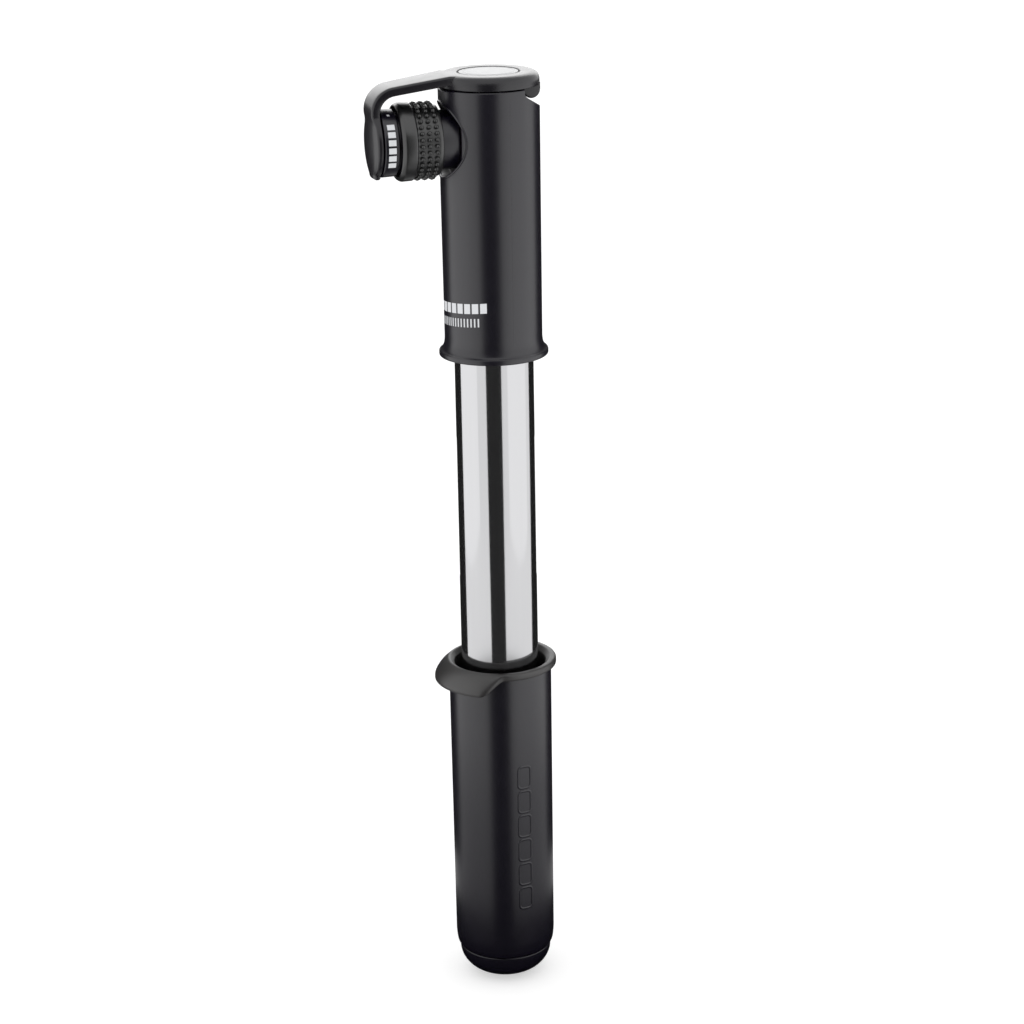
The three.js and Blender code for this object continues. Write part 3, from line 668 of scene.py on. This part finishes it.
def bar_row_tree(material):
    """A row of flat bars along X, thin along Y, standing on Base; Columns lets them bend when wrapped."""
    tree, nodes, links, source = new_tree("bar_row", [
        ("Width", "NodeSocketFloat"), ("Height", "NodeSocketFloat"), ("Thickness", "NodeSocketFloat"),
        ("Count", "NodeSocketInt"), ("Pitch", "NodeSocketFloat"), ("Base", "NodeSocketFloat"),
        ("Columns", "NodeSocketInt")])
    size = nodes.new("ShaderNodeCombineXYZ")
    links.new(source.outputs["Width"], size.inputs["X"])
    links.new(source.outputs["Thickness"], size.inputs["Y"])
    links.new(source.outputs["Height"], size.inputs["Z"])
    bar = nodes.new("GeometryNodeMeshCube")
    links.new(size.outputs[0], bar.inputs["Size"])
    links.new(source.outputs["Columns"], bar.inputs["Vertices X"])
    middle = nodes.new("ShaderNodeMath")
    middle.operation = "MULTIPLY_ADD"
    middle.inputs[1].default_value = 0.5
    links.new(source.outputs["Height"], middle.inputs[0])
    links.new(source.outputs["Base"], middle.inputs[2])
    start = nodes.new("ShaderNodeCombineXYZ")
    links.new(middle.outputs[0], start.inputs["Z"])
    pitch = nodes.new("ShaderNodeCombineXYZ")
    links.new(source.outputs["Pitch"], pitch.inputs["X"])
    places = nodes.new("GeometryNodeMeshLine")
    links.new(source.outputs["Count"], places.inputs["Count"])
    links.new(start.outputs[0], places.inputs["Start Location"])
    links.new(pitch.outputs[0], places.inputs["Offset"])
    copies = nodes.new("GeometryNodeInstanceOnPoints")
    links.new(places.outputs[0], copies.inputs["Points"])
    links.new(bar.outputs["Mesh"], copies.inputs["Instance"])
    return finish_tree(tree, copies.outputs[0], material)


bars = bar_row_tree(pale_print)
PRINT_TILT = 0.08
PRINT_THICKNESS = 0.06


def print_row(name, azimuth, width, height, count, pitch, base):
    """A printed row of bars in millimetres that ends at an azimuth; it sinks a little to the left."""
    row = node_modifier(name, bars, pale_print, {
        "Width": width * MM, "Height": height * MM, "Thickness": PRINT_THICKNESS * MM,
        "Count": count, "Pitch": pitch * MM, "Base": base * MM, "Columns": 5})
    reach = pitch * (count - 1) + width / 2
    for vertex in row.data.vertices:
        vertex.co.z -= PRINT_TILT * (reach * MM - vertex.co.x)
    start = azimuth - math.degrees(reach / HEAD_RADIUS_LOW)
    wrapped(row, head_radius, start)
    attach(row, "barrel")


print_row("print_blocks", -21.5, 1.9, 2.8, 8, 2.45, 206.0)
print_row("print_scale", -31, 0.42, 2.4, 17, 1.1, 202.0)

# ---------------------------------------------------------------------------
# Valve. A black stub screwed into the port carries a rubber locking sleeve
# with moulded rows of knobs, a printed ring and a soft gasket in its mouth.
# ---------------------------------------------------------------------------
STUB_RADIUS = 8.15
STUB_BORE = 4.2
STUB_BACK = 10.45
STUB_FRONT = 27.2
GASKET_SEAT = 21.2
valve_neck = turned("valve_stub", [
    (STUB_BORE, STUB_BACK), (STUB_RADIUS, STUB_BACK, 0.2), (STUB_RADIUS, STUB_FRONT, 0.3),
    (6.45, STUB_FRONT, 0.2), (6.45, GASKET_SEAT), (STUB_BORE, GASKET_SEAT),
], satin_black, facets=96, place=ALONG_VALVE)
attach(valve_neck, "barrel")
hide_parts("valve_neck")

soft_black = detail_material("soft_black_rubber", (0.006, 0.006, 0.0063), 0.15, 0.3, 0.05,
                             0.0003, 0.00002, specular=1.0)
SLEEVE_BACK = 15.2
SLEEVE_FRONT = 26.9
SLEEVE_MOUTH = 9.65
FIRST_KNOB_ROW = 17.15
KNOB_ROW_PITCH = 2.05
sleeve_ring = turned("sleeve_barrel", [
    (8.5, SLEEVE_BACK), (9.7, SLEEVE_BACK, 0.35), (9.9, SLEEVE_BACK + 0.8, 0.3), (9.9, 22.4, 0.2),
    (10.75, 22.75, 0.35), (10.85, 25.9, 0.45), (10.2, SLEEVE_FRONT, 0.3), (SLEEVE_MOUTH, SLEEVE_FRONT, 0.1),
    (SLEEVE_MOUTH, SLEEVE_FRONT - 3.3), (8.5, SLEEVE_FRONT - 3.3),
], soft_black, facets=144, place=ALONG_VALVE)
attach(sleeve_ring, "sleeve")
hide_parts("knurled_sleeve")


def knob_rows_tree(material):
    """Rows of round-headed knobs: a ring of points, one knob standing out at each, the ring repeated."""
    tree, nodes, links, source = new_tree("knob_rows", [
        ("Ring radius", "NodeSocketFloat"), ("Knobs", "NodeSocketInt"), ("Rows", "NodeSocketInt"),
        ("First row", "NodeSocketFloat"), ("Row pitch", "NodeSocketFloat"),
        ("Knob radius", "NodeSocketFloat"),
        ("Stand-out", "NodeSocketFloat")])
    knob = nodes.new("GeometryNodeMeshIcoSphere")
    knob.inputs["Subdivisions"].default_value = 3
    links.new(source.outputs["Knob radius"], knob.inputs["Radius"])
    squash = nodes.new("ShaderNodeCombineXYZ")
    squash.inputs["Y"].default_value = 0.88
    squash.inputs["Z"].default_value = 1
    links.new(source.outputs["Stand-out"], squash.inputs["X"])
    flat = nodes.new("GeometryNodeTransform")
    links.new(knob.outputs["Mesh"], flat.inputs["Geometry"])
    links.new(squash.outputs[0], flat.inputs["Scale"])
    ring = nodes.new("GeometryNodeMeshCircle")
    links.new(source.outputs["Knobs"], ring.inputs["Vertices"])
    links.new(source.outputs["Ring radius"], ring.inputs["Radius"])
    place = nodes.new("GeometryNodeInputPosition")
    turn = nodes.new("FunctionNodeAlignRotationToVector")
    turn.axis = "X"
    turn.pivot_axis = "Z"
    links.new(place.outputs[0], turn.inputs["Vector"])
    knobs = nodes.new("GeometryNodeInstanceOnPoints")
    links.new(ring.outputs["Mesh"], knobs.inputs["Points"])
    links.new(flat.outputs["Geometry"], knobs.inputs["Instance"])
    links.new(turn.outputs[0], knobs.inputs["Rotation"])
    first = nodes.new("ShaderNodeCombineXYZ")
    links.new(source.outputs["First row"], first.inputs["Z"])
    pitch = nodes.new("ShaderNodeCombineXYZ")
    links.new(source.outputs["Row pitch"], pitch.inputs["Z"])
    rows = nodes.new("GeometryNodeMeshLine")
    links.new(source.outputs["Rows"], rows.inputs["Count"])
    links.new(first.outputs[0], rows.inputs["Start Location"])
    links.new(pitch.outputs[0], rows.inputs["Offset"])
    stacked = nodes.new("GeometryNodeInstanceOnPoints")
    links.new(rows.outputs["Mesh"], stacked.inputs["Points"])
    links.new(knobs.outputs[0], stacked.inputs["Instance"])
    return finish_tree(tree, stacked.outputs[0], material)


knobs = node_modifier("sleeve_knobs", knob_rows_tree(soft_black), soft_black, {
    "Ring radius": 10.1 * MM, "Knobs": 36, "Rows": 3, "First row": FIRST_KNOB_ROW * MM,
    "Row pitch": KNOB_ROW_PITCH * MM, "Knob radius": 0.68 * MM, "Stand-out": 1.1})
knobs.data.transform(ALONG_VALVE)
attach(knobs, "sleeve")

RING_BACK = 27.45
RING_FRONT = 31.5
label_ring = turned("printed_ring", [
    (4.6, RING_BACK), (9.2, RING_BACK, 0.3), (9.35, RING_FRONT, 0.4), (5.1, RING_FRONT, 0.4),
    (5.1, 28.2), (4.6, 28.2),
], satin_black, facets=120, place=ALONG_VALVE)
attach(label_ring, "barrel")
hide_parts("label_ring")


MARK_COUNT = 6
MARK_PITCH = 2.2
MARK_RADIUS = 9.3 * MM


def mark_row(name, length, width, count, height, turn):
    """A row of printed bars round the ring, centred at a turn from the front of the pump."""
    row = node_modifier(name, bars, pale_print, {
        "Width": length * MM, "Height": width * MM, "Thickness": PRINT_THICKNESS * MM,
        "Count": count, "Pitch": MARK_PITCH * MM, "Base": -width / 2 * MM, "Columns": 9})
    for vertex in row.data.vertices:
        along = vertex.co.x - MARK_PITCH * MM * (count - 1) / 2
        angle = math.radians(turn) + along / MARK_RADIUS
        out = MARK_RADIUS + vertex.co.y
        vertex.co = (out * math.sin(angle), -out * math.cos(angle), height * MM + vertex.co.z)
    row.data.transform(ALONG_VALVE)
    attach(row, "barrel")


MARK_HEIGHT = 29.5
mark_row("ring_bars_front", 1.6, 2.1, MARK_COUNT, MARK_HEIGHT, 2)
mark_row("ring_tick_front", 0.7, 0.7, 1, MARK_HEIGHT, 62)
mark_row("ring_bars_back", 1.6, 2.1, MARK_COUNT, MARK_HEIGHT, 182)

GASKET_BORE = 3.2
GASKET_RADIUS = 6.3
gasket = turned("mouth_gasket", [
    (GASKET_BORE, 21.3, 0.4), (GASKET_RADIUS, 21.3), (GASKET_RADIUS, 24.2, 0.2), (GASKET_BORE, 24.2, 0.5),
], soft_black, facets=96, place=ALONG_VALVE)
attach(gasket, "barrel")
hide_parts("valve_gasket")

# ---------------------------------------------------------------------------
# Dust cover. One soft black moulding hinged on the back of the head: a lid
# over the head, a strap that runs out and bends down, and a domed leaf with
# a pull tab over the valve's mouth. A spun silver badge is set into the lid.
# ---------------------------------------------------------------------------
cover_black = detail_material("cover_black", (0.005, 0.0042, 0.0070), 0.12, 0.3, 0.04,
                              0.0003, 0.00002, specular=0.62)
cover_low, cover_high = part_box("dust_cover")
COVER_TOP = cover_high.z / MM
LID_BOTTOM = COVER_TOP - 3.7
LID_RIM = 12.4
BADGE_SEAT = 8.55
cover = turned("cover_and_strap", [
    (0, LID_BOTTOM), (14.05, LID_BOTTOM, 0.25), (14.03, LID_BOTTOM + 1.9, 1.0),
    (13.55, COVER_TOP - 0.6, 0.9), (LID_RIM, COVER_TOP, 0.9), (BADGE_SEAT + 0.25, COVER_TOP, 0.2),
    (BADGE_SEAT, COVER_TOP - 0.7), (0, COVER_TOP - 0.7),
], cover_black, facets=160, loop=False)
STRAP_THICKNESS = 2.5
STRAP_OUTER = -cover_low.x / MM
STRAP_BEND = 7.35
STRAP_SLOPE = math.radians(8)
STRAP_HALF = 6.8
STRAP_NARROWING = 1.6
STRAP_RUN = 23.6
STRAP_CROWN = 0.1
SLOPE_STEPS = 11
BEND_STEPS = 16
bend_x = STRAP_BEND - STRAP_OUTER
bend_z = COVER_TOP - (-bend_x - LID_RIM) * math.tan(STRAP_SLOPE) - STRAP_BEND / math.cos(STRAP_SLOPE)
LEAF_RADIUS = 8.9
LEAF_EDGE = 0.8
LEAF_DOME = 1.25
TAB_HALF = 3.4
TAB_REACH = 9.7
ARM_HALF = 5.3
BLEND_POWER = 10
SETTLE_LENGTH = 3.5
DOME_REACH = 10.5
END_ROUNDING = 0.9


def strap_half(x):
    return STRAP_HALF + (x + LID_RIM) * STRAP_NARROWING / STRAP_RUN


# Each station of the strap: outer face (x, z), direction outwards, half width, thickness, crown.
stations = [((-9.2, COVER_TOP - 0.15), 0.0, STRAP_HALF, STRAP_THICKNESS - 0.15, 0.0)]
for k in range(SLOPE_STEPS + 1):
    x = -LID_RIM + (bend_x + LID_RIM) * k / SLOPE_STEPS
    z = COVER_TOP - (-x - LID_RIM) * math.tan(STRAP_SLOPE)
    stations.append(((x, z), STRAP_SLOPE, strap_half(x), STRAP_THICKNESS, STRAP_CROWN))
for k in range(1, BEND_STEPS + 1):
    turn = STRAP_SLOPE + (math.pi / 2 - STRAP_SLOPE) * k / BEND_STEPS
    x = bend_x - STRAP_BEND * math.sin(turn)
    z = bend_z + STRAP_BEND * math.cos(turn)
    stations.append(((x, z), turn, strap_half(x), STRAP_THICKNESS, STRAP_CROWN))
leaf_top = bend_z - 0.2
leaf_bottom = VALVE_Z - TAB_REACH
LEAF_STEPS = 44
for k in range(LEAF_STEPS + 1):
    z = leaf_top + (leaf_bottom - leaf_top) * k / LEAF_STEPS
    rise = (z - VALVE_Z) / LEAF_RADIUS
    disc_half = LEAF_RADIUS * math.sqrt(max(0.0, 1 - rise * rise))
    arm_half = ARM_HALF if z > VALVE_Z else TAB_HALF
    half = (disc_half ** BLEND_POWER + arm_half ** BLEND_POWER) ** (1 / BLEND_POWER)
    settle = max(0.0, min(1.0, (leaf_top - z) / SETTLE_LENGTH))
    settle = settle * settle * (3 - 2 * settle)
    dome = max(0.0, 1 - ((z - VALVE_Z) / DOME_REACH) ** 2)
    crown = STRAP_CROWN + (LEAF_DOME - STRAP_CROWN) * settle * dome
    edge = LEAF_EDGE * settle
    to_end = z - leaf_bottom
    rounding = max(0.0, 1 - to_end / END_ROUNDING)
    corner = 1 - math.sqrt(max(0.0, 1 - rounding * rounding))
    half -= 1.0 * corner
    edge += 0.5 * corner
    thickness = STRAP_THICKNESS - edge - 0.3 * corner
    stations.append(((-STRAP_OUTER + edge, z), math.pi / 2, half, thickness, crown * (1 - corner)))


def strap_section(station):
    """The points round one station of the strap, in millimetres: a crowned, round-edged bar."""
    (x, z), turn, half, thickness, crown = station
    soft = min(0.7, half * 0.45, thickness * 0.42)
    inner_soft = soft * 0.6
    flat = []
    for step in range(6):
        t = math.pi / 2 * step / 5
        flat.append((half - soft + soft * math.cos(t), -soft + soft * math.sin(t)))
    for step in range(1, 14):
        u = (half - soft) * (1 - 2 * step / 14)
        flat.append((u, crown * (1 - (u / half) ** 2)))
    for step in range(6):
        t = math.pi / 2 * (1 + step / 5)
        flat.append((soft - half + soft * math.cos(t), -soft + soft * math.sin(t)))
    for step in range(4):
        t = math.pi / 2 * (2 + step / 3)
        flat.append((inner_soft - half + inner_soft * math.cos(t),
                     inner_soft - thickness + inner_soft * math.sin(t)))
    for step in range(4):
        t = math.pi / 2 * (3 + step / 3)
        flat.append((half - inner_soft + inner_soft * math.cos(t),
                     inner_soft - thickness + inner_soft * math.sin(t)))
    outward = Vector((-math.sin(turn), 0, math.cos(turn)))
    return [Vector((x, u, z)) + outward * v for u, v in flat]


build = bmesh.new()
rings = [[build.verts.new(point * MM) for point in strap_section(station)] for station in stations]
for near, far in zip(rings, rings[1:]):
    for k in range(len(near)):
        n = (k + 1) % len(near)
        build.faces.new((near[k], near[n], far[n], far[k]))
build.faces.new(rings[0])
build.faces.new(rings[-1])
bmesh.ops.recalc_face_normals(build, faces=build.faces)
strap_mesh = bpy.data.meshes.new("strap")
build.to_mesh(strap_mesh)
build.free()
strap = plain_object("strap", strap_mesh, cover_black)
combine(cover, strap, "UNION")
EAR_RADIUS = 2.45
EAR_INNER = 3.1
EAR_OUTER = 6.5
for side in (-1, 1):
    ear_from = min(side * EAR_INNER, side * EAR_OUTER)
    ear_to = max(side * EAR_INNER, side * EAR_OUTER)
    ear = turned("ear", [
        (0, ear_from), (EAR_RADIUS, ear_from, 0.45), (EAR_RADIUS, ear_to, 0.45), (0, ear_to),
    ], cover_black, facets=64, loop=False, place=ACROSS_HINGE)
    combine(cover, ear, "UNION")
    ear_web = prism("ear_web", [
        (HINGE_X - EAR_RADIUS + 0.02, HINGE_Z), (HINGE_X + EAR_RADIUS - 0.02, HINGE_Z),
        (HINGE_X + EAR_RADIUS - 0.02, LID_BOTTOM + 0.9), (HINGE_X - EAR_RADIUS + 0.02, LID_BOTTOM + 0.9),
    ], ear_from + 0.06, ear_to - 0.06, cover_black)
    combine(cover, ear_web, "UNION")
SLOT_FRONT = 7.6
SLOT_BACK = 16
lug_slot = prism("lug_slot", [
    (SLOT_FRONT, HINGE_Z - 4), (SLOT_BACK, HINGE_Z - 4),
    (SLOT_BACK, LID_BOTTOM + 1.7), (SLOT_FRONT, LID_BOTTOM + 1.7),
], -EAR_INNER, EAR_INNER, cover_black)
combine(cover, lug_slot, "DIFFERENCE")
PIN_BORE = 1.05
pin_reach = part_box("hinge_pin")[1].y / MM + 0.05
pin_bore = turned("pin_bore", [
    (0, -pin_reach), (PIN_BORE, -pin_reach), (PIN_BORE, pin_reach), (0, pin_reach),
], cover_black, facets=48, loop=False, place=ACROSS_HINGE)
combine(cover, pin_bore, "DIFFERENCE")
cover.name = "cover_and_strap"
cover.data.shade_smooth()
cover.data.set_sharp_from_angle(angle=math.radians(34))
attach(cover, "cover")
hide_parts("dust_cover")

badge_silver = detail_material("badge_silver", (0.19, 0.192, 0.195), 0.03, 0.34, 0.03,
                               0.0004, 0.000006, metallic=0.75)
BADGE_RADIUS = 8.25
badge = turned("spun_badge", [
    (0, COVER_TOP - 0.65), (BADGE_RADIUS, COVER_TOP - 0.65),
    (BADGE_RADIUS, COVER_TOP - 0.1, 0.12),
    (7.5, COVER_TOP - 0.02, 0.1), (7.2, COVER_TOP - 0.12, 0.05), (6.9, COVER_TOP - 0.02, 0.1),
    (0, COVER_TOP),
], badge_silver, loop=False, sharp=50)
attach(badge, "cover")
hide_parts("cover_badge")

# ---------------------------------------------------------------------------
# Inner parts. Rod, piston, bushes, seals and the check valve are the CAD's
# own shapes: they are steel, nylon, rubber and turned aluminium, unseen
# until the pump is drawn apart, and each gets a finish that suits it.
# ---------------------------------------------------------------------------
inner_steel = detail_material("inner_steel", (0.56, 0.56, 0.57), 0.05, 0.28, 0.05, 0.0005, 0.00001,
                              metallic=1.0)
inner_aluminium = detail_material("inner_aluminium", (0.8, 0.8, 0.81), 0.04, 0.3, 0.05, 0.0006, 0.00001,
                                  metallic=1.0)
inner_rubber = detail_material("inner_rubber", (0.013, 0.013, 0.013), 0.1, 0.6, 0.06, 0.0004, 0.00003)
inner_nylon = detail_material("inner_nylon", (0.66, 0.65, 0.6), 0.04, 0.45, 0.05, 0.0005, 0.00002)
inner_anodised = detail_material("inner_anodised", (0.015, 0.015, 0.017), 0.1, 0.35, 0.05, 0.0004, 0.00001,
                                 metallic=0.6)
finishes = {
    "steel": inner_steel,
    "satin_aluminium": inner_aluminium,
    "polished_aluminium": polished_aluminium,
    "rubber": inner_rubber,
    "nylon": inner_nylon,
    "anodised_black": inner_anodised,
    "moulded_black": satin_black,
    "cover_black": cover_black,
    "badge_silver": badge_silver,
}
for subpart in frame["record"]["subparts"]:
    node = frame["nodes"][subpart["node"]]
    if not node.hide_render:
        node.data.materials.clear()
        node.data.materials.append(finishes[subpart["material_slot"]])
